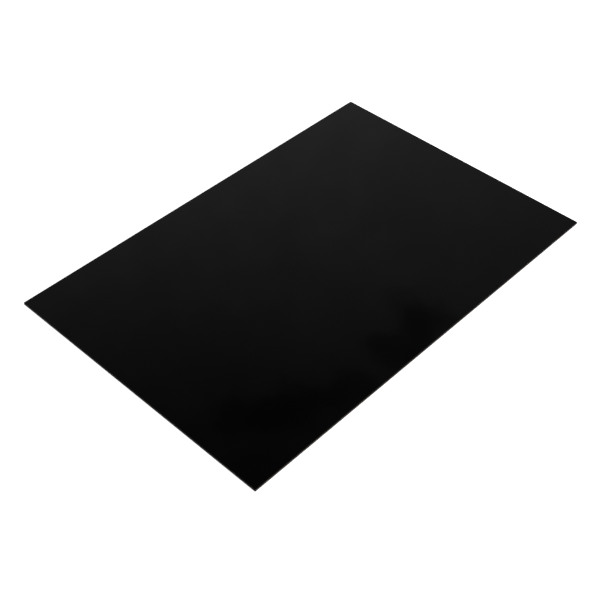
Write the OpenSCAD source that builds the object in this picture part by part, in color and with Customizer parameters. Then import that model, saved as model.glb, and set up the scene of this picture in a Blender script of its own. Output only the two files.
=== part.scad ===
// Adhesive-mounted kick plate: a plain sheet for the foot of a door, with no screw holes.
// The sheet is stuck on with strips of double-sided foam tape, each still under its release liner.
//
// Frame: millimetres. The plate lies on its back with its visible face up (+Z). +X runs along its
// long side, across the door, and +Y runs up the door. The origin is at the middle of the back,
// on the underside of the liners, which is the side that goes to the door.

/* [Plate] */
// Length of the plate, across the door
plate_l = 609.6; // [350:0.1:1200]
// Height of the plate, up the door
plate_h = 406.4; // [250:0.1:1000]
// Thickness of the sheet that the plate is cut from
plate_t = 3.175; // [1.5:0.005:12]
// Radius that sanding leaves at each corner of the outline
corner_r = 0.8; // [0.8:0.1:12]
// Width of the small bevel that takes the sharpness off every edge
arris = 0.3; // [0.1:0.05:0.7]

/* [Foam tape] */
// Width of a strip
tape_w = 25.4; // [12:0.1:38]
// Thickness of a strip, foam and both adhesive coats together
tape_t = 1.1; // [0.4:0.05:3]
// How far the outer strips stay in from the edge of the plate
tape_inset = 6; // [3:0.5:12]
// Gap left where the end of an upright strip meets a strip along the plate
butt_gap = 4; // [4:0.5:10]

/* [Release liners] */
// Thickness of the liner film
liner_t = 0.13; // [0.05:0.01:0.3]
// How far a liner stands out past each long side of its strip
liner_lip = 0.5; // [0.1:0.1:1.5]
// Length of the finger tab that a liner carries past one end of its strip
tab_l = 12; // [8:0.5:20]
// Corner radius of the finger tab
tab_r = 5; // [2:0.5:5.5]

/* [Hidden] */
$fn = 48;

// The liners lie under the foam and the foam under the sheet, face to face.
tape_z = liner_t;
plate_z = tape_z + tape_t;

// The two strips along the plate: both stop short of the right-hand edge by one tab.
rail_x = -plate_l / 2 + tape_inset;
rail_l = plate_l - 2 * tape_inset - tab_l;
rail_y = plate_h / 2 - tape_inset - tape_w / 2;

// The upright strips fill the height between those two, with room for a tab at the top.
post_gap = butt_gap + liner_lip;
post_y = -rail_y + tape_w / 2 + post_gap;
post_l = 2 * rail_y - tape_w - 2 * post_gap - tab_l;

// They are evenly spaced: the outer two line up with the plate's inset, one is in the middle.
post_span = plate_l / 2 - tape_inset - tape_w / 2;
post_pitch = post_span / 2;

plate_colour = [0.04, 0.04, 0.045];
foam_colour = [0.25, 0.25, 0.26];
film_colour = [0.72, 0.14, 0.12];

// Half the cross-section of an edge-bevelled sheet, from its middle line out to one edge.
function eased_half(half_w) = [
    [0, 0],
    [half_w - arris, 0],
    [half_w, arris],
    [half_w, plate_t - arris],
    [half_w - arris, plate_t],
    [0, plate_t]
];

// A bar of sheet along X, bevelled on its two long edges, centred on X and Y.
module eased_bar(bar_l, bar_w)
    rotate([90, 0, 90])
        translate([0, 0, -bar_l / 2])
            linear_extrude(bar_l)
                union() {
                    polygon(eased_half(bar_w / 2));
                    mirror([1, 0]) polygon(eased_half(bar_w / 2));
                }

// One rounded corner of the sheet, as a disc with the same bevel.
module eased_corner()
    rotate_extrude()
        polygon(eased_half(corner_r));

// A strip of foam from its start point along X.
module foam_strip(strip_l)
    translate([0, -tape_w / 2, tape_z])
        cube([strip_l, tape_w, tape_t]);

// The liner of a strip: it covers the foam, and its far end is the rounded finger tab.
module liner_film(strip_l) {
    film_w = tape_w + 2 * liner_lip;
    film_l = strip_l + tab_l;
    linear_extrude(liner_t)
        union() {
            translate([0, -film_w / 2])
                square([film_l - tab_r, film_w]);
            translate([0, tab_r - film_w / 2])
                square([film_l, film_w - 2 * tab_r]);
            for (side = [-1, 1])
                translate([film_l - tab_r, side * (film_w / 2 - tab_r)])
                    circle(tab_r);
        }
}

// Puts a strip along the top (side 1) or the bottom (side -1) of the plate.
module along_rail(side)
    translate([rail_x, side * rail_y, 0])
        children();

// Puts a strip upright at step -2 to 2 across the plate, its tab at the top.
module up_post(step)
    translate([step * post_pitch, post_y, 0])
        rotate([0, 0, 90])
            children();

module face_plate()
    color(plate_colour)
        translate([0, 0, plate_z])
            union() {
                eased_bar(plate_l - 2 * corner_r, plate_h);
                rotate([0, 0, 90])
                    eased_bar(plate_h - 2 * corner_r, plate_l);
                for (sx = [-1, 1], sy = [-1, 1])
                    translate([sx * (plate_l / 2 - corner_r), sy * (plate_h / 2 - corner_r), 0])
                        eased_corner();
            }

module tape_top() color(foam_colour) along_rail(1) foam_strip(rail_l);
module tape_bottom() color(foam_colour) along_rail(-1) foam_strip(rail_l);
module tape_left() color(foam_colour) up_post(-2) foam_strip(post_l);
module tape_mid_left() color(foam_colour) up_post(-1) foam_strip(post_l);
module tape_centre() color(foam_colour) up_post(0) foam_strip(post_l);
module tape_mid_right() color(foam_colour) up_post(1) foam_strip(post_l);
module tape_right() color(foam_colour) up_post(2) foam_strip(post_l);

module liner_top() color(film_colour) along_rail(1) liner_film(rail_l);
module liner_bottom() color(film_colour) along_rail(-1) liner_film(rail_l);
module liner_left() color(film_colour) up_post(-2) liner_film(post_l);
module liner_mid_left() color(film_colour) up_post(-1) liner_film(post_l);
module liner_centre() color(film_colour) up_post(0) liner_film(post_l);
module liner_mid_right() color(film_colour) up_post(1) liner_film(post_l);
module liner_right() color(film_colour) up_post(2) liner_film(post_l);

face_plate();
tape_top();
tape_bottom();
tape_left();
tape_mid_left();
tape_centre();
tape_mid_right();
tape_right();
liner_top();
liner_bottom();
liner_left();
liner_mid_left();
liner_centre();
liner_mid_right();
liner_right();
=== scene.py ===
# %% [markdown]
# # A stick-on kick plate
#
# A kick plate guards the foot of a door against shoes, wheels and trays. This one is the plainest
# kind: a sheet of black plastic with a polished face, cut square, its edges just dulled with
# sandpaper. It has no screw holes. Strips of double-sided foam tape on its back hold it, and each
# strip still wears its release liner, the film that is pulled off on the day it is fitted.
#
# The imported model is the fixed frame: it says where each piece is and how big. Blender adds the
# finish. Every piece made here reads its place from that frame, so nothing has to be fitted.

# %% Load the frame
import math

import bpy
import numpy as np
from mathutils import Matrix, Vector


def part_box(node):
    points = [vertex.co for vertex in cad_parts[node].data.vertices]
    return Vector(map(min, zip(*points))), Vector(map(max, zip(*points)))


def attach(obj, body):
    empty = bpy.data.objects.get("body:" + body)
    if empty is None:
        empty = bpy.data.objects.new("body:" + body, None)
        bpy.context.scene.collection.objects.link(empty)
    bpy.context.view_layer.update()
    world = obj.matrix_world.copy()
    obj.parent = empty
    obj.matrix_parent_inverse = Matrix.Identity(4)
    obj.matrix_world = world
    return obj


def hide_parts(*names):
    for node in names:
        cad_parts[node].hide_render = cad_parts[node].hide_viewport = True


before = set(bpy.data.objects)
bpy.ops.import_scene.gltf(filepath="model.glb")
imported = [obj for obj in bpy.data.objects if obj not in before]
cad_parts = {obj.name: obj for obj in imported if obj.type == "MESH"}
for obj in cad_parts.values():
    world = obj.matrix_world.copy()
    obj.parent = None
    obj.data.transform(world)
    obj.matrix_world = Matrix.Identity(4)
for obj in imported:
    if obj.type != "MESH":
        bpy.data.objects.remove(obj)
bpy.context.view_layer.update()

# %% [markdown]
# ## Sizes
#
# Lengths are in metres. The frame gives each node's box; the few sizes that a box can't tell, such
# as how far an edge is rounded, are named here once. The strips and their liners come in pairs with
# the same ending to their names, so one list of endings serves both.

# %% Read the sizes
mm = 0.001
sheet_low, sheet_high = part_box("face_plate")
half_long, half_short = sheet_high.x, sheet_high.y
sheet_thickness = sheet_high.z - sheet_low.z
corner_radius = 0.8 * mm
arris = 0.3 * mm

rails = ["top", "bottom"]
posts = ["left", "mid_left", "centre", "mid_right", "right"]
sheet_size = [2 * half_long, 2 * half_short, sheet_thickness]
print("sheet, mm:", [round(v / mm, 3) for v in sheet_size])

# %% [markdown]
# ## One way to make a closed skin
#
# Every piece here is a stack of closed rings. The sheet's rings start as a dot in the middle of its
# face, grow to the rim, go down the edge and shrink to a dot on the back. A strip's rings travel
# along its length. Box modelling with bevels could make them too, but rings keep the face count
# where it is wanted: close together where a surface turns, and far apart where it is flat.
#
# The whole skin is one array of points, ring by ring, so its faces are pure counting: each quad
# joins two neighbours on one ring to the same two on the next. A fan of triangles closes each end.

# %% Rings to a mesh
def skin(name, rings, materials, slot_of_ring=None):
    """A closed mesh through rings[ring, step, xyz], with a fan of triangles over each end.

    Seen from outside the first end, the steps of a ring run anticlockwise. Quad (r, s) joins points
    s and s + 1 of ring r to the same two of ring r + 1, counted round the ring.
    """
    count, around, _ = rings.shape
    ends = np.stack([rings[0].mean(axis=0), rings[-1].mean(axis=0)])
    points = np.concatenate([rings.reshape(-1, 3), ends])
    step = np.arange(around)
    after = (step + 1) % around
    base = (np.arange(count - 1) * around)[:, None]
    quads = np.stack([base + step, base + around + step, base + around + after, base + after], axis=-1)
    first = np.stack([np.full(around, count * around), step, after], axis=-1)
    last_ring = (count - 1) * around
    last = np.stack([np.full(around, count * around + 1), last_ring + after, last_ring + step], axis=-1)

    mesh = bpy.data.meshes.new(name)
    mesh.from_pydata(points.tolist(), [], quads.reshape(-1, 4).tolist() + first.tolist() + last.tolist())
    mesh.polygons.foreach_set("use_smooth", np.ones(len(mesh.polygons), bool))
    if slot_of_ring is not None:
        of_quads = np.repeat(slot_of_ring, around)
        of_ends = np.repeat([slot_of_ring[0], slot_of_ring[-1]], around)
        mesh.polygons.foreach_set("material_index", np.concatenate([of_quads, of_ends]).astype(np.int32))
    for material in materials:
        mesh.materials.append(material)
    mesh.update()
    piece = bpy.data.objects.new(name, mesh)
    bpy.context.scene.collection.objects.link(piece)
    return piece


# %% Measure a closed mesh
def enclosed_mm3(piece):
    """The volume inside a closed mesh: a sixth of the sum of a . (b x c) over its triangles.

    It is negative if the mesh is inside out, so the printed volumes also show which way faces point.
    """
    mesh = piece.data
    mesh.calc_loop_triangles()
    points = np.empty(3 * len(mesh.vertices))
    corners = np.empty(3 * len(mesh.loop_triangles), np.int32)
    mesh.vertices.foreach_get("co", points)
    mesh.loop_triangles.foreach_get("vertices", corners)
    a, b, c = points.reshape(-1, 3)[corners.reshape(-1, 3)].transpose(1, 0, 2)
    return float((a * np.cross(b, c)).sum() / 6) / mm**3


# %% [markdown]
# ## The outline of a rounded rectangle
#
# The sheet is a rounded rectangle seen from above, and so is a strip of tape seen end-on. Both are
# an inner rectangle with a band of constant width round it. Keeping the two apart, as a point on
# the inner rectangle and a direction outwards, makes every offset of the outline a plain sum.

# %% A rounded outline, as a core and a direction
def rounded_outline(half_x, half_y, radius, steps_x, steps_y, steps_corner):
    """Once round, anticlockwise from the right-hand side: (core points, outward directions), each [n, 2].

    The outline itself is core + radius * direction. Along a side the direction stays put and the core
    moves; round a corner the core stays put and the direction turns through a quarter.
    """
    inner_x, inner_y = half_x - radius, half_y - radius
    corners = np.array([[1, -1], [1, 1], [-1, 1], [-1, -1]]) * [inner_x, inner_y]
    cores, directions = [], []
    for side, steps in enumerate([steps_y, steps_x, steps_y, steps_x]):
        start, end = corners[side], corners[(side + 1) % 4]
        share = np.linspace(0, 1, steps, endpoint=False)[:, None]
        facing = side * math.pi / 2
        turn = facing + np.linspace(0, math.pi / 2, steps_corner, endpoint=False)
        cores += [start + share * (end - start), np.repeat(end[None], steps_corner, axis=0)]
        directions += [
            np.repeat([[math.cos(facing), math.sin(facing)]], steps, axis=0),
            np.stack([np.cos(turn), np.sin(turn)], axis=-1),
        ]
    return np.concatenate(cores), np.concatenate(directions)


# %% [markdown]
# ## Shader sums as plain Python
#
# A finish is mostly arithmetic: a little of this noise times that mask. `Wire` stands for one output
# of a shader node, and `+ - * /` on it add the Math nodes, so a finish reads like a formula. Any
# other node comes from `add`, which takes the node's type, its settings, and what goes in its
# sockets, be it a number, a colour or another wire.

# %% Wire
class Wire:
    """One output socket in a node tree, or the bare tree if no socket is given."""

    def __init__(self, tree, socket=None):
        self.tree = tree
        self.socket = socket

    def add(self, kind, settings=None, out=0, **inputs):
        """A new node of that kind, as a wire from its output. Settings come first, then the inputs.

        An input goes by its socket's name, with _ for a space, or by its number, as _0.
        """
        node = self.tree.nodes.new(kind)
        for name, value in (settings or {}).items():
            setattr(node, name, value)
        for name, value in inputs.items():
            key = int(name[1:]) if name[1:].isdigit() else name.replace("_", " ")
            self.feed(node.inputs[key], value)
        return Wire(self.tree, node.outputs[out] if node.outputs else None)

    def feed(self, socket, value):
        """Puts a wire, a number or a colour into a socket."""
        if isinstance(value, Wire):
            self.tree.links.new(value.socket, socket)
        else:
            socket.default_value = value

    def math(self, operation, *others):
        """A Math node on this wire and the others, in the order of its sockets."""
        values = {f"_{i}": value for i, value in enumerate([self, *others])}
        return self.add("ShaderNodeMath", {"operation": operation}, **values)

    def __add__(self, other):
        return self.math("ADD", other)

    def __sub__(self, other):
        return self.math("SUBTRACT", other)

    def __mul__(self, other):
        return self.math("MULTIPLY", other)

    def __truediv__(self, other):
        return self.math("DIVIDE", other)

    def __pow__(self, other):
        return self.math("POWER", other)

    def __abs__(self):
        return self.math("ABSOLUTE")

    def __rsub__(self, other):
        return (self * -1) + other

    __radd__ = __add__
    __rmul__ = __mul__

    def step(self, low, high):
        """0 below low, 1 above high, and an S-shaped rise between; low may be the larger, for a fall."""
        if low > high:
            return 1 - self.step(high, low)
        smooth = {"interpolation_type": "SMOOTHSTEP"}
        return self.add("ShaderNodeMapRange", smooth, Value=self, From_Min=low, From_Max=high)

    def blend(self, start, end):
        """The colour start where this wire is 0, and end where it is 1."""
        return self.add("ShaderNodeMix", {"data_type": "RGBA"}, out=2, _0=self, _6=start, _7=end)

    def stretched(self, scale, turn_deg=0):
        """This vector turned about Z, then scaled along each axis.

        A pattern read there is drawn out along whichever of the turned axes has the smallest scale.
        """
        turned = self.add("ShaderNodeMapping", Vector=self, Rotation=(0, 0, math.radians(turn_deg)))
        return self.add("ShaderNodeMapping", Vector=turned, Scale=scale)

    def noise(self, scale, detail=2.0, roughness=0.5):
        """Soft random cloud, 0 to 1, read at this vector; scale is in clouds per metre."""
        return self.add("ShaderNodeTexNoise", Vector=self, Scale=scale, Detail=detail, Roughness=roughness)


# %% Three helpers for finishes
def finish_of(name, ior=1.49):
    """A new material with one Principled shader: (material, its tree as a bare Wire, the shader node)."""
    material = bpy.data.materials.new(name)
    material.use_nodes = True
    shader = material.node_tree.nodes["Principled BSDF"]
    shader.inputs["IOR"].default_value = ior
    return material, Wire(material.node_tree), shader


def grey(level):
    """A neutral colour, opaque."""
    return (level, level, level, 1)


def bumped(tree, height, depth, strength, under=None):
    """A normal tilted by the slope of a height: 1 in it stands for the depth, in metres.

    It may lie on another normal, given as under.
    """
    inputs = {"Height": height, "Distance": depth, "Strength": strength}
    if under is not None:
        inputs["Normal"] = under
    return tree.add("ShaderNodeBump", **inputs)


# %% [markdown]
# ## Finish 1: the face of the sheet
#
# The real face is pressed against polished rollers while the plastic is warm. It comes out almost a
# mirror, but not quite: roller haze spreads a reflection by a fraction of a degree, and differs a
# little from place to place, and a ripple far too shallow to feel makes the edges of a reflection
# wobble. Handling adds a wiped look, a few hairlines that only show at a glancing angle, and the odd
# speck of dust. Black plastic hides all of that in its colour and shows it in its gloss, so most of
# the work here goes to roughness and the normal, and the colour barely moves.
#
# All of it could be painted on a roughness map. Noise is used instead, because it needs no file and
# never repeats: plain for haze, and drawn out in one direction for wiping and hairlines. It is read
# in Object coordinates, in metres, so each scale is a count per metre.

# %% The polished black face
def black_face():
    """Black gloss whose roughness is a sum: haze, wiping, hairlines, dust and a handled rim."""
    material, tree, shader = finish_of("sheet_face")
    place = tree.add("ShaderNodeTexCoord", out="Object")
    across = abs(tree.add("ShaderNodeSeparateXYZ", out="X", Vector=place))
    upward = abs(tree.add("ShaderNodeSeparateXYZ", out="Y", Vector=place))
    rim = (half_long - across).math("MINIMUM", half_short - upward)

    haze = place.noise(7.0, detail=3.0)
    wiped = place.stretched((5, 55, 5), turn_deg=24).noise(1.0, detail=4.0)
    hairline = place.stretched((9, 1400, 9), turn_deg=-31).noise(1.0, detail=1.0).step(0.70, 0.76)
    crossing = place.stretched((7, 1100, 7), turn_deg=58).noise(1.0, detail=1.0).step(0.71, 0.77)
    scratches = (hairline + crossing) * place.noise(18.0).step(0.45, 0.7)

    flat = {"voronoi_dimensions": "2D"}
    specks = tree.add("ShaderNodeTexVoronoi", flat, out="Distance", Vector=place, Scale=60.0)
    dust = specks.step(0.012, 0.006) * place.noise(25.0).step(0.5, 0.62)
    handled = rim.step(2.2 * mm, 0.2 * mm) * place.noise(420.0, detail=3.0)

    roughness = haze * 0.04 + wiped * 0.02 + scratches * 0.05 + dust * 0.4 + handled * 0.22 + 0.03
    colour = (dust + handled * 0.12).math("MINIMUM", 1.0).blend(grey(0.002), grey(0.05))
    grain = place.noise(2600.0, detail=1.0) * 0.35 - scratches + dust * 2.0
    ripple = bumped(tree, place.noise(26.0, detail=1.0), 0.06 * mm, 1.0)
    tree.feed(shader.inputs["Base Color"], colour)
    tree.feed(shader.inputs["Roughness"], roughness)
    tree.feed(shader.inputs["Normal"], bumped(tree, grain, 0.002 * mm, 0.5, under=ripple))
    return material


face_finish = black_face()
print(face_finish.name, "has", len(face_finish.node_tree.nodes), "nodes")

# %% [markdown]
# ## Finish 2: the cut edge of the sheet
#
# A saw leaves fine ridges straight through the thickness, and sandpaper takes their tops off. What
# is left is matt, and greyer than the face, because a rough black surface throws a little light in
# every direction. Ridges could be cut into the mesh, but they are far finer than the arris, and a
# bump reads the same at that size. They run along Z, so the noise is squeezed across the edge and
# drawn out along Z.

# %% The sanded edge
def sawn_edge():
    """A matt, slightly warm dark grey: fine saw ridges, broader passes of the saw, and sanding."""
    material, tree, shader = finish_of("sheet_edge")
    place = tree.add("ShaderNodeTexCoord", out="Object")
    ridges = place.stretched((1500, 1500, 40)).noise(1.0, detail=2.0)
    passes = place.stretched((120, 120, 12)).noise(1.0, detail=3.0)
    sanded = place.stretched((300, 300, 2600)).noise(1.0, detail=2.0)
    tone = (ridges * 0.4 + passes * 0.4 + sanded * 0.2).step(0.25, 0.75)
    colour = tone.blend((0.0131, 0.0099, 0.0079, 1), (0.0305, 0.0229, 0.0183, 1))
    height = ridges * 0.7 + passes * 0.5 + sanded * 0.3
    tree.feed(shader.inputs["Base Color"], colour)
    tree.feed(shader.inputs["Roughness"], ridges * 0.14 + sanded * 0.1 + 0.48)
    tree.feed(shader.inputs["Normal"], bumped(tree, height, 0.03 * mm, 0.6))
    shader.inputs["Specular IOR Level"].default_value = 0.06
    return material


edge_finish = sawn_edge()
print(edge_finish.name, "has", len(edge_finish.node_tree.nodes), "nodes")

# %% [markdown]
# ## Finish 3: foam tape
#
# The tape is a firm black-grey foam with closed cells about a quarter of a millimetre across. Slit
# from a wide roll, its sides show cut cells: small round pits. Each pit's colour is painted darker in
# its middle and paler at its rim, a painted shade in the pits. Cloudy noise would give lumps of every
# size. A Voronoi pattern is used, because its cells pack like bubbles.

# %% The foam
def foam_finish():
    """Matt black-grey foam: pits from the distance to each cell's middle, at two sizes, with painted shade
    in each pit.
    """
    material, tree, shader = finish_of("foam", ior=1.42)
    place = tree.add("ShaderNodeTexCoord", out="Object")
    cells = tree.add("ShaderNodeTexVoronoi", out="Distance", Vector=place, Scale=3600.0)
    larger = tree.add("ShaderNodeTexVoronoi", out="Distance", Vector=place, Scale=1300.0)
    batch = place.noise(35.0, detail=3.0)
    wall = cells.step(0.15, 0.7)
    # The colour darkens towards each cell's middle, where the bump sinks: painted shade in the pits. The
    # batch noise is a real tone.
    tone = wall * 0.6 + batch * 0.4
    colour = tone.blend((0.032, 0.033, 0.036, 1), (0.088, 0.09, 0.096, 1))
    height = wall * 0.6 + larger.step(0.1, 0.6) * 0.6
    tree.feed(shader.inputs["Base Color"], colour)
    tree.feed(shader.inputs["Roughness"], wall * 0.12 + batch * 0.08 + 0.74)
    tree.feed(shader.inputs["Normal"], bumped(tree, height, 0.12 * mm, 0.8))
    return material


foam = foam_finish()
print(foam.name, "has", len(foam.node_tree.nodes), "nodes")

# %% [markdown]
# ## Finish 4: release film
#
# Liner film is a waxy red plastic, embossed with a fine lattice so that air and fingers can get
# under it. The lattice is two sets of slanting ribs. Two wave textures could make them, but a sine
# of each slanting coordinate is a round rib already, with its pitch in plain sight, and the larger
# of the two at each point is the crossing of both.

# %% The embossed film
def film_finish():
    """Waxy red film: the lattice is the larger of sin(k (x + y)) and sin(k (x - y)), cut off low; its ribs
    get a painted highlight.
    """
    material, tree, shader = finish_of("release_film", ior=1.51)
    place = tree.add("ShaderNodeTexCoord", out="Object")
    x = tree.add("ShaderNodeSeparateXYZ", out="X", Vector=place)
    y = tree.add("ShaderNodeSeparateXYZ", out="Y", Vector=place)
    rib_pitch = 1.6 * mm
    turns = 2 * math.pi / rib_pitch / math.sqrt(2)
    rising = ((x + y) * turns).math("SINE")
    falling = ((x - y) * turns).math("SINE")
    lattice = rising.math("MAXIMUM", falling).step(0.55, 0.98)
    cloud = place.noise(60.0, detail=3.0)
    grip = place.stretched((260, 40, 40), turn_deg=12).noise(1.0, detail=3.0)
    # The raised ribs are painted a lighter red, a painted highlight on the lattice. The cloud is a real
    # uneven tone.
    tone = cloud * 0.7 + lattice * 0.3
    colour = tone.blend((0.33, 0.022, 0.017, 1), (0.52, 0.05, 0.04, 1))
    tree.feed(shader.inputs["Base Color"], colour)
    tree.feed(shader.inputs["Roughness"], grip * 0.14 + lattice * 0.08 + 0.24)
    tree.feed(shader.inputs["Normal"], bumped(tree, lattice + grip * 0.25, 0.05 * mm, 0.7))
    return material


film = film_finish()
print(film.name, "has", len(film.node_tree.nodes), "nodes")

# %% [markdown]
# ## Piece 1: the sheet
#
# Extruded sheet is never dead flat. It rises and falls by a few hundredths of a millimetre over a
# hand's width, and in a glossy black face that is what makes a straight reflection lean. The two
# faces rise and fall together, as a sheet of constant thickness does.
#
# The edge is a quarter round where the sandpaper went: small enough to feel square to a finger, big
# enough to catch a thread of light. A box with a Bevel modifier would have that edge too, but its
# face would be one flat polygon, with no points for the waves to lift.

# %% How the sheet waves
def waviness(x, y):
    """How far the sheet stands above dead flat at (x, y): the sum of three long, shallow cosines."""
    tallest = 0.025 * mm
    long_one = 0.5 * np.cos(17 * x + 5 * y + 0.6)
    slanting = 0.3 * np.cos(-9 * x + 21 * y + 2.1)
    short_one = 0.2 * np.cos(33 * x + 1.3)
    return tallest * (long_one + slanting + short_one)


print("height in the middle of the sheet, mm:", round(waviness(0, 0) / mm, 4))


# %% Rings of the sheet
def sheet_rings():
    """Rings from the middle of the face, out over the rounded arris, down the edge and back in below.

    Each ring is (core + out * direction) * scale, at one height. On the faces only scale changes; round
    an arris, out and height follow a quarter circle; down the edge only height changes. Last, every
    point rises by the sheet's waviness. The second array says which rings of faces are the cut edge.
    """
    core, direction = rounded_outline(
        half_long, half_short, corner_radius, steps_x=90, steps_y=60, steps_corner=8
    )
    shrink = np.concatenate([np.linspace(0.03, 0.97, 18), [0.99, 0.9975]])
    quarter = np.linspace(0, math.pi / 2, 7)
    flat_out = corner_radius - arris
    top, bottom = sheet_high.z, sheet_low.z
    wall = np.linspace(top - arris, bottom + arris, 7)[1:-1]

    on_face = np.full(len(shrink), flat_out)
    out = np.concatenate([
        on_face, flat_out + arris * np.sin(quarter), np.full(len(wall), corner_radius),
        flat_out + arris * np.cos(quarter), on_face,
    ])
    scale = np.concatenate([shrink, np.ones(2 * len(quarter) + len(wall)), shrink[::-1]])
    height = np.concatenate([
        np.full(len(shrink), top), top - arris + arris * np.cos(quarter), wall,
        bottom + arris - arris * np.sin(quarter), np.full(len(shrink), bottom),
    ])
    flat = (core[None] + out[:, None, None] * direction[None]) * scale[:, None, None]
    level = height[:, None] + waviness(flat[..., 0], flat[..., 1])
    rings = np.concatenate([flat, level[..., None]], axis=-1)
    edge_starts = flat_out + 0.7 * arris
    on_edge = (out[:-1] + out[1:]) / 2 > edge_starts
    return rings, on_edge.astype(np.int32)


# %% Skin the sheet
rings, slots = sheet_rings()
sheet = skin("sheet", rings, [face_finish, edge_finish], slots)
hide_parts("face_plate")
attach(sheet, "root")
print("sheet: volume", round(enclosed_mm3(sheet)), "mm3,", len(sheet.data.polygons), "faces")

# %% [markdown]
# ## Piece 2: a strip of foam tape
#
# Tape laid by hand is nearly straight. It wanders by a fraction of a millimetre, its slit sides are
# pulled in a little at half height where the foam is free, and cut cells leave them slightly ragged.
# Its top follows the sheet it is stuck to, and its bottom lies flat on the liner. A box with a noise
# bump would look right from far off; here the side itself carries the ragged cut, so the shape
# holds up close.

# %% Carry an outline along a strip
def along_strip(low, high, stations, outline, width, lift, sway):
    """Rings of one outline carried down the middle line of a box, along its longer side.

    outline[n, 2] runs across and up. At each station (distance from the near end) it is scaled across
    by width, moved across by sway and up by lift, each one number per station or per point.
    """
    low, high = np.array(low), np.array(high)
    upright = high[1] - low[1] > high[0] - low[0]
    forward = np.array([0, 1, 0]) if upright else np.array([1, 0, 0])
    across = np.array([1, 0, 0]) if upright else np.array([0, -1, 0])
    middle = (low + high) / 2
    start = np.where(forward > 0, low, middle) * [1, 1, 0]
    sideways = outline[None, :, 0] * width + sway
    upward = outline[None, :, 1] + middle[2] + lift
    return (
        start
        + stations[:, None, None] * forward
        + sideways[..., None] * across
        + upward[..., None] * np.array([0, 0, 1])
    )


# %% One strip of tape
def foam_strip(ending, seed):
    """One strip of tape: a box section whose middle line wanders and whose sides are cut ragged.

    With level running from -1 at the bottom to 1 at the top, a side is pulled in by a depth times
    1 - level^2, and by a random cut that never stands proud.
    """
    low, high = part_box("tape_" + ending)
    length = max(high.x - low.x, high.y - low.y)
    half_width = min(high.x - low.x, high.y - low.y) / 2
    half_thick = (high.z - low.z) / 2
    soft, station_gap = 0.1 * mm, 1.1 * mm
    waist, raggedness = 0.10 * mm, 0.035 * mm
    drift, drift_waves = 0.12 * mm, 1.7

    core, direction = rounded_outline(
        half_width, half_thick, soft, steps_x=6, steps_y=9, steps_corner=3
    )
    outline = core + soft * direction
    stations = np.linspace(0, length, int(length / station_gap))

    rng = np.random.default_rng(seed)
    side = np.abs(direction[:, 0]) * np.sign(outline[:, 0])
    level = outline[:, 1] / half_thick
    pulled_in = waist * (1 - level**2)
    ragged = raggedness * rng.standard_normal((len(stations), len(outline)))
    wander = drift * np.sin(stations / length * math.pi * 2 * drift_waves + seed)
    sway = wander[:, None] - side * (pulled_in + np.abs(ragged))
    rings = along_strip(low, high, stations, outline, 1.0, 0.0, sway)
    rings[..., 2] += waviness(rings[..., 0], rings[..., 1]) * (1 + level) / 2
    strip = skin("foam_" + ending, rings, [foam])
    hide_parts("tape_" + ending)
    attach(strip, "root")
    return strip


# %% Lay the seven strips
strips = [foam_strip(ending, seed) for seed, ending in enumerate(rails + posts)]
for strip in strips:
    print(strip.name, "volume", round(enclosed_mm3(strip)), "mm3,", len(strip.data.polygons), "faces")

# %% [markdown]
# ## Piece 3: a liner with its finger tab
#
# The liner is film an eighth of a millimetre thick and a little wider than the tape. At one end it
# runs on past the foam as a tab with rounded corners. Film cut from a roll keeps some of its curl,
# so the free tab lifts; the space under the sheet, as high as the foam is thick, limits how far.
# The tab's corners could be cut off a plain strip. Here the width follows a circle near the end
# instead, which draws them without any cutting and keeps the rings whole.

# %% Build a liner
def liner(ending, seed):
    """One liner: a thin section carried under the strip and out past it as the tab.

    In the last stretch, at a distance t into it, the half width falls by r - sqrt(r^2 - t^2): a
    quarter circle of the tab's corner radius r. Past the foam the film lifts by a share of the
    headroom times free^2, where free runs from 0 at the foam to 1 at the tip. The creases are the
    size of a sine along the film, and the film's sides lift a little more than its middle.
    """
    low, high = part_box("liner_" + ending)
    foam_low, foam_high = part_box("tape_" + ending)
    length = max(high.x - low.x, high.y - low.y)
    half_width = min(high.x - low.x, high.y - low.y) / 2
    half_thick = (high.z - low.z) / 2
    covered = max(foam_high.x - foam_low.x, foam_high.y - foam_low.y)
    headroom = foam_high.z - foam_low.z - 2 * half_thick
    tab_radius, station_gap = 5 * mm, 3 * mm
    curl_share, cupping = 0.55, 0.25
    crease_height, crease_rate = 0.06 * mm, 0.9 / mm

    edge_round = 0.4 * half_thick
    core, direction = rounded_outline(
        half_width, half_thick, edge_round, steps_x=16, steps_y=2, steps_corner=2
    )
    outline = core + edge_round * direction
    turn = np.linspace(0, math.pi / 2, 14)
    straight = np.linspace(0, length - tab_radius, int(length / station_gap))
    stations = np.concatenate([straight, length - tab_radius + tab_radius * np.sin(turn[1:])])

    into_arc = np.clip(stations - (length - tab_radius), 0, tab_radius)
    tucked = tab_radius - np.sqrt(tab_radius**2 - into_arc**2)
    width = ((half_width - tucked) / half_width)[:, None]
    free = np.clip((stations - covered) / (length - covered), 0, 1)
    curl = curl_share * headroom * free**2
    creases = crease_height * free * np.sin(stations * crease_rate + seed)
    towards_side = outline[None, :, 0] / half_width
    lift = (curl + np.abs(creases))[:, None] * (1 + cupping * towards_side**2)
    rings = along_strip(low, high, stations, outline, width, lift, 0.0)
    piece = skin("film_" + ending, rings, [film])
    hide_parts("liner_" + ending)
    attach(piece, "root")
    return piece


# %% Put a liner under every strip
liners = [liner(ending, seed) for seed, ending in enumerate(rails + posts)]
for piece in liners:
    print(piece.name, "volume", round(enclosed_mm3(piece)), "mm3,", len(piece.data.polygons), "faces")

# %% [markdown]
# ## The table it lies on
#
# The plate lies on a pale table that is lit from inside, the way small goods are often shown: the
# light comes up round the object and leaves no shadow. Lamps round a plain white table would leave a
# faint one along each edge. A wide round slab with a matt white finish and a glow of its own leaves
# none. It lies a hair below the liners, so that no two faces coincide.

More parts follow.
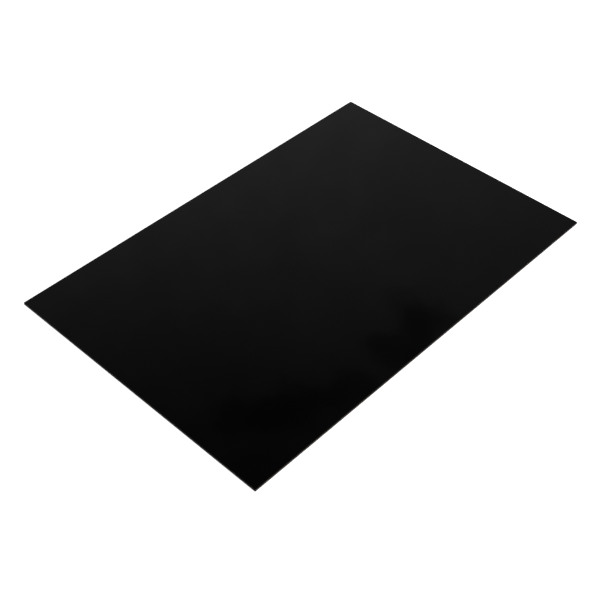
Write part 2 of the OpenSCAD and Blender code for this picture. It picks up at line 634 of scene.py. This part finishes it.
# %% A glowing table
def table_top(radius, sink):
    """A round slab as five rings: three out across its top, then down its rim and back in below."""
    thickness = 20 * mm
    turn = np.linspace(0, 2 * math.pi, 96, endpoint=False)
    circle = np.stack([np.cos(turn), np.sin(turn)], axis=-1)
    spread = np.array([0.1, 0.4, 1.0, 1.0, 0.1]) * radius
    height = np.array([0.0, 0.0, 0.0, -1.0, -1.0]) * thickness - sink
    flat = spread[:, None, None] * circle[None]
    return np.concatenate([flat, np.repeat(height[:, None, None], len(turn), axis=1)], axis=-1)


table_finish, _, table_shader = finish_of("table")
table_shader.inputs["Base Color"].default_value = grey(0.85)
table_shader.inputs["Roughness"].default_value = 0.9
table_shader.inputs["Specular IOR Level"].default_value = 0.0
table_shader.inputs["Emission Color"].default_value = grey(1.0)
table_shader.inputs["Emission Strength"].default_value = 0.95
table = skin("table", table_top(radius=7.0, sink=0.01 * mm), [table_finish])
print("table:", len(table.data.polygons), "faces")

# %% [markdown]
# ## The light
#
# A glossy black sheet shows little of its own: what is seen in it is the room. So the room is the
# real finish here. Its walls have a soft grey glow, strongest on the far side and a little to the
# left, which fades out towards a dark ceiling. In the sheet that becomes a slow fall from charcoal
# at the far corner to black at the near one. A few ragged dark smudges stand for the clutter on any
# studio ceiling, and break up the lower part of the reflection.
#
# A panorama of some real room could be hung round the scene. A formula from direction to brightness
# is used instead, because it needs no file and each part of it can be moved by a degree.
#
# The lowest part of the walls is dimmed and has a black cloth hung round it, so the sheet stays dark
# when it is seen from low down. Two soft pools of light, one nearly overhead and one low, give it a
# gradient from the sides where the walls have none.
#
# A direction is an azimuth, clockwise from +Y, and an elevation, both in degrees. What the camera
# sees past the table is plain white; only reflections and bounced light see the room.

# %% Directions in the room
def towards(azimuth, elevation):
    """The unit vector in a direction given in degrees: (sin a cos e, cos a cos e, sin e)."""
    a, e = math.radians(azimuth), math.radians(elevation)
    return Vector((math.sin(a) * math.cos(e), math.cos(a) * math.cos(e), math.sin(e)))


world = bpy.data.worlds.new("room")
bpy.context.scene.world = world
world.use_nodes = True
world.node_tree.nodes.clear()
room = Wire(world.node_tree)
ray = room.add("ShaderNodeTexCoord", out="Generated")
east, north, up = [room.add("ShaderNodeSeparateXYZ", out=axis, Vector=ray) for axis in "XYZ"]
azimuth = east.math("ARCTAN2", north) * math.degrees(1)
elevation = up.math("ARCSINE") * math.degrees(1)
print("azimuth 0, level, points along", tuple(round(v, 3) for v in towards(0, 0)))

# %% Smudges in the reflection
# Each is a centre (azimuth, elevation), half a width and half a height, all in degrees, and how much
# of the glow it takes away. The shifts shake their outlines by a few degrees at most.
SMUDGES = [
    ((42.5, 50.2), (3.0, 0.9), 0.75),
    ((45.8, 50.3), (2.6, 1.1), 0.85),
    ((48.0, 49.4), (3.4, 0.7), 0.80),
    ((51.3, 48.7), (2.2, 0.6), 0.60),
    ((54.3, 46.6), (2.4, 0.9), 0.65),
    ((56.5, 45.0), (2.2, 1.1), 0.72),
    ((54.8, 44.2), (1.3, 0.5), 0.40),
    ((43.5, 52.5), (1.6, 0.7), 0.35),
]
ragged = ray.add("ShaderNodeTexNoise", out="Color", Vector=ray, Scale=30.0, Detail=5.0, Roughness=0.6)
shift_across = (room.add("ShaderNodeSeparateColor", out="Red", Color=ragged) - 0.5) * 6.0
shift_up = (room.add("ShaderNodeSeparateColor", out="Green", Color=ragged) - 0.5) * 2.4


def patch(centre, half, rim=1.4, heart=0.3):
    """A ragged oval in the room, 1 in its heart and 0 outside.

    It is a step on u^2 + v^2 that falls from 1 at heart to 0 at rim. Here u and v are the shaken
    azimuth and elevation from the centre, each over half the oval's size that way.
    """
    u = (azimuth + shift_across - centre[0]) / half[0]
    v = (elevation + shift_up - centre[1]) / half[1]
    return (u * u + v * v).step(rim, heart)


# %% Glows and pools
# How long a direction's level part is: the square root of 1 - up^2, kept off zero.
level_part = (1 - up * up).math("MAXIMUM", 0.0001) ** 0.5


def glow_round(centre, start):
    """A wide glow round an azimuth: the cosine of the angle from it, less start, and never below 0."""
    way = towards(centre, 0)
    facing = (east * way.x + north * way.y) / level_part
    return (facing - start).math("MAXIMUM", 0.0)


def soft_pool(centre, radius):
    """A soft round pool of light in the room, 1 in its middle and 0 past its radius in degrees."""
    way = towards(*centre)
    cosine = east * way.x + north * way.y + up * way.z
    return cosine.step(math.cos(math.radians(radius)), 1.0)


# %% Add up the room
# The walls fade towards the ceiling, and dim again low down, with the cloth at the very foot.
dim_walls = 1 - elevation.step(35.0, 20.0) * 0.55
fade = (elevation.step(55.0, 40.9) * 0.088 + 0.013) * dim_walls
black_cloth = elevation.step(3.0, 14.0) * 0.8 + 0.2

# A window beyond the plate and a paler wall behind the camera brighten the lower half of the room.
low = elevation.step(47.0, 27.0)
window = glow_round(15, 0.59) * 0.9
paler_wall = glow_round(210, -0.1) * 0.2

# Mottle is a soft unevenness of the upper walls and the ceiling.
mottle = (ray.noise(30.0, detail=6.0, roughness=0.7) - 0.49) * elevation.step(30.0, 38.0) * 0.9 + 1
pools = soft_pool((-60, 80), 24) * 0.5 + soft_pool((-62, 27), 24) * 0.22
glow = (fade + low * (window + paler_wall)) * black_cloth * mottle + pools
for centre, half, depth in SMUDGES:
    glow = glow * (1 - patch(centre, half) * depth)

# The high part of the room is a trace violet, with a faint green patch in the middle of it.
violet = elevation.step(34.0, 42.0).blend(grey(0.97), (1.0, 0.93, 0.99, 1))
tint = patch((50.0, 44.0), (10.0, 4.5), 1.6, 0.2).blend(violet, (0.92, 1.0, 0.95, 1))
dark_room = room.add("ShaderNodeBackground", Color=tint, Strength=glow)
white_wall = room.add("ShaderNodeBackground", Color=grey(1.0), Strength=1.0)
seen = room.add("ShaderNodeLightPath", out="Is Camera Ray")
mixed = room.add("ShaderNodeMixShader", _0=seen, _1=dark_room, _2=white_wall)
room.add("ShaderNodeOutputWorld", _0=mixed)
print("room: lit, with", len(SMUDGES), "smudges and", len(world.node_tree.nodes), "nodes")

# %% [markdown]
# ## Two lamps
#
# The table lights the plate's edges from below. Two softboxes add a little from above and from one
# side, so that the edges and the dust don't go black. A mirror would show them as two hard
# rectangles, so both are kept out of reflections and light only what is matt.

# %% Hang the two lamps
def softbox(name, direction, distance, side, watts):
    """A square lamp that faces the middle of the object from a direction, kept out of reflections."""
    lamp = bpy.data.lights.new(name, "AREA")
    lamp.size = side
    lamp.energy = watts
    hung = bpy.data.objects.new(name, lamp)
    hung.visible_glossy = False
    bpy.context.scene.collection.objects.link(hung)
    turned = direction.to_track_quat("Z", "Y").to_matrix().to_4x4()
    hung.matrix_world = Matrix.Translation(direction * distance) @ turned
    return hung


overhead = softbox("overhead_softbox", towards(0, 90), distance=2.4, side=1.4, watts=12)
side_fill = softbox("side_fill", towards(160, 10), distance=2.6, side=1.2, watts=70)
print("lamps:", overhead.name, side_fill.name)

# %% [markdown]
# ## The camera
#
# The camera stands off one corner of the plate, a little under half-way up the sky, and the long side
# runs away to the right. A wide lens from close by would fill the view as well, but the far end would
# look pinched. A moderately long lens from further off keeps opposite sides closer to parallel.

# %% Set the camera
camera_azimuth, camera_elevation, camera_roll = 226.254, 44.309, 0.289
camera_distance = 1.3835
aim = Vector((-70.66 * mm, -24.92 * mm, 0))
back = towards(camera_azimuth, camera_elevation)
camera = bpy.data.objects.new("camera", bpy.data.cameras.new("camera"))
camera.data.lens = 66.52
camera.data.shift_x = 0.021
camera.data.clip_end = 100
camera.location = aim + back * camera_distance
camera.rotation_mode = "QUATERNION"
roll = Matrix.Rotation(math.radians(camera_roll), 3, "Z").to_quaternion()
camera.rotation_quaternion = back.to_track_quat("Z", "Y") @ roll
bpy.context.scene.collection.objects.link(camera)
bpy.context.scene.camera = camera
bpy.context.scene.view_settings.view_transform = "Standard"
print("camera at, mm:", [round(v / mm, 1) for v in camera.location])
